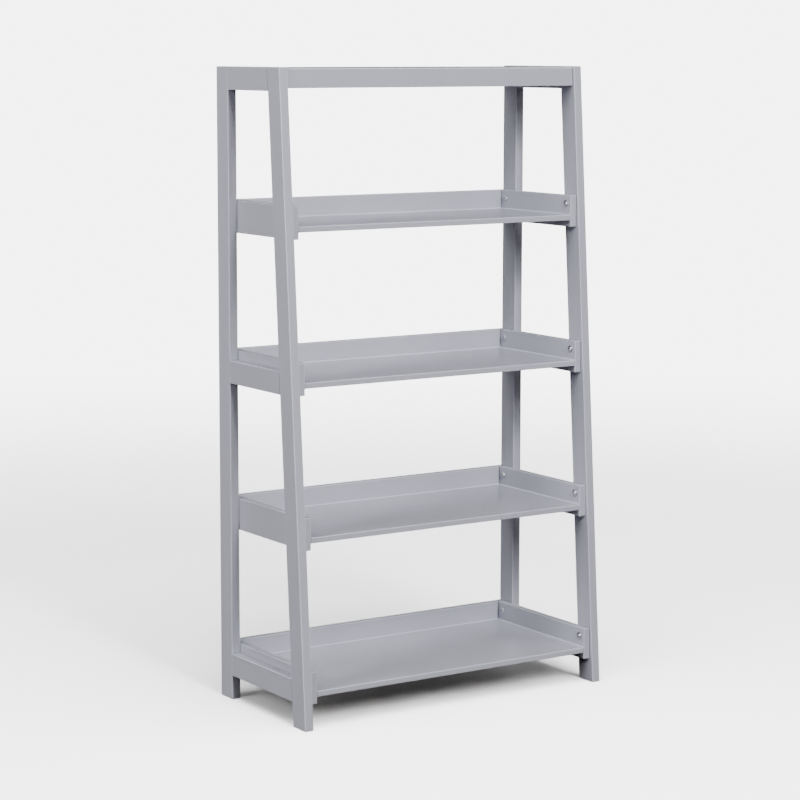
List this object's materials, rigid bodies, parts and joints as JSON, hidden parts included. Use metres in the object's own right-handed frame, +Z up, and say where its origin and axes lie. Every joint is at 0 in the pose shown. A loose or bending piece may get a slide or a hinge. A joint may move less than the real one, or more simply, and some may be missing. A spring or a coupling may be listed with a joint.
{
  "type": "ladder shelf",
  "caption": "Free-standing open shelf with leaning front posts; open-fronted trays get deeper towards the floor under a flat top, all bolted between two side frames.",
  "frame": {"origin": "on the floor, in the middle of the rectangle that the four feet cover", "axes": "+X to the shelf's right as seen from the front, +Y to the rear, +Z up"},
  "size_m": [0.686, 0.32, 1.22],
  "materials": {
    "grey_paint": "satin cool grey paint over wood",
    "bolt_steel": "bright zinc-plated steel"
  },
  "bodies": {
    "root": {"left_rear_post": "grey_paint", "left_front_post": "grey_paint", "left_bottom_rail": "grey_paint", "left_middle_rail": "grey_paint", "left_top_rail": "grey_paint", "right_rear_post": "grey_paint", "right_front_post": "grey_paint", "right_bottom_rail": "grey_paint", "right_middle_rail": "grey_paint", "right_top_rail": "grey_paint", "tray_1_board": "grey_paint", "tray_1_back": "grey_paint", "tray_1_left_side": "grey_paint", "tray_1_left_rear_bolt": "bolt_steel", "tray_1_left_front_bolt": "bolt_steel", "tray_1_right_side": "grey_paint", "tray_1_right_rear_bolt": "bolt_steel", "tray_1_right_front_bolt": "bolt_steel", "tray_2_board": "grey_paint", "tray_2_back": "grey_paint", "tray_2_left_side": "grey_paint", "tray_2_left_rear_bolt": "bolt_steel", "tray_2_left_front_bolt": "bolt_steel", "tray_2_right_side": "grey_paint", "tray_2_right_rear_bolt": "bolt_steel", "tray_2_right_front_bolt": "bolt_steel", "tray_3_board": "grey_paint", "tray_3_back": "grey_paint", "tray_3_left_side": "grey_paint", "tray_3_left_rear_bolt": "bolt_steel", "tray_3_left_front_bolt": "bolt_steel", "tray_3_right_side": "grey_paint", "tray_3_right_rear_bolt": "bolt_steel", "tray_3_right_front_bolt": "bolt_steel", "tray_4_board": "grey_paint", "tray_4_back": "grey_paint", "tray_4_left_side": "grey_paint", "tray_4_left_rear_bolt": "bolt_steel", "tray_4_left_front_bolt": "bolt_steel", "tray_4_right_side": "grey_paint", "tray_4_right_rear_bolt": "bolt_steel", "tray_4_right_front_bolt": "bolt_steel", "top_front_rail": "grey_paint", "top_board": "grey_paint", "top_back_rail": "grey_paint", "top_left_cleat": "grey_paint", "top_left_rear_bolt": "bolt_steel", "top_left_front_bolt": "bolt_steel", "top_right_cleat": "grey_paint", "top_right_rear_bolt": "bolt_steel", "top_right_front_bolt": "bolt_steel"}
  },
  "joints": []
}
